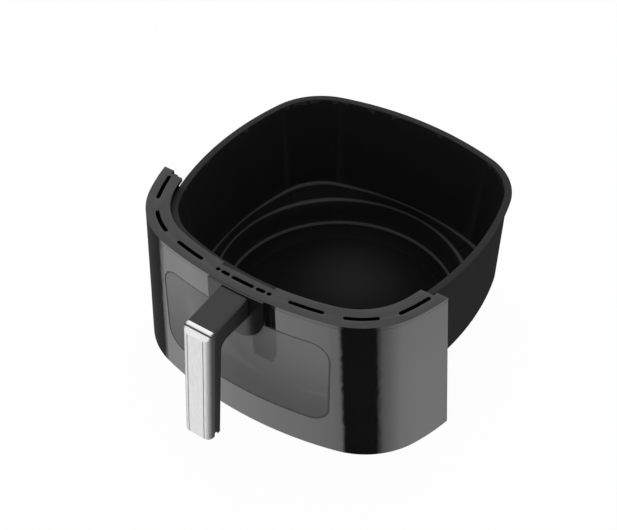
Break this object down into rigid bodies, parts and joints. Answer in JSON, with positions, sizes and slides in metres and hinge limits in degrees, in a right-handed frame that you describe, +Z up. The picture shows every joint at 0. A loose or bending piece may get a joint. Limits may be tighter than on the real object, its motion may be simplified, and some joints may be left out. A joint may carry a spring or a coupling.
{
  "type": "air fryer drawer",
  "caption": "Pull-out air fryer drawer: square non-stick pan with a round floor, curved glossy front with smoked window, vented ring and a handle with bright metal trim.",
  "frame": {"origin": "middle of the pan's round floor, on the level that the drawer stands on", "axes": "+Z up, -Y out of the front towards the user, +X to the right seen from the front"},
  "size_m": [0.273, 0.311, 0.135],
  "materials": {
    "pan_coating": "satin non-stick coating",
    "ring_plastic": "fine matte grain",
    "skin_gloss": "high gloss",
    "smoked_glass": "smoked",
    "clear_glass": "clear, heat resistant",
    "seal_rubber": "matte",
    "handle_plastic": "satin",
    "carrier_plastic": "matte",
    "trim_steel": "bright, finely brushed",
    "sheet_steel": "plain sheet",
    "fastener_steel": "zinc plated"
  },
  "bodies": {
    "root": {"pan": "pan_coating", "pan_jacket": "pan_coating", "vent_ring": "ring_plastic", "front_skin": "skin_gloss", "window_glass": "smoked_glass", "window_gasket": "seal_rubber", "handle_base": "handle_plastic", "handle_core": "handle_plastic", "handle_trim": "trim_steel", "grip_back_cover": "handle_plastic", "inner_carrier": "carrier_plastic", "pan_bracket": "sheet_steel", "pan_bracket_rivets": "fastener_steel", "pan_window_gasket": "seal_rubber", "pan_window_glass": "clear_glass", "pan_window_frame": "sheet_steel", "pan_window_rivets": "fastener_steel", "handle_screws": "fastener_steel", "carrier_screws": "fastener_steel", "skin_screws": "fastener_steel", "trim_screws": "fastener_steel"}
  },
  "joints": []
}
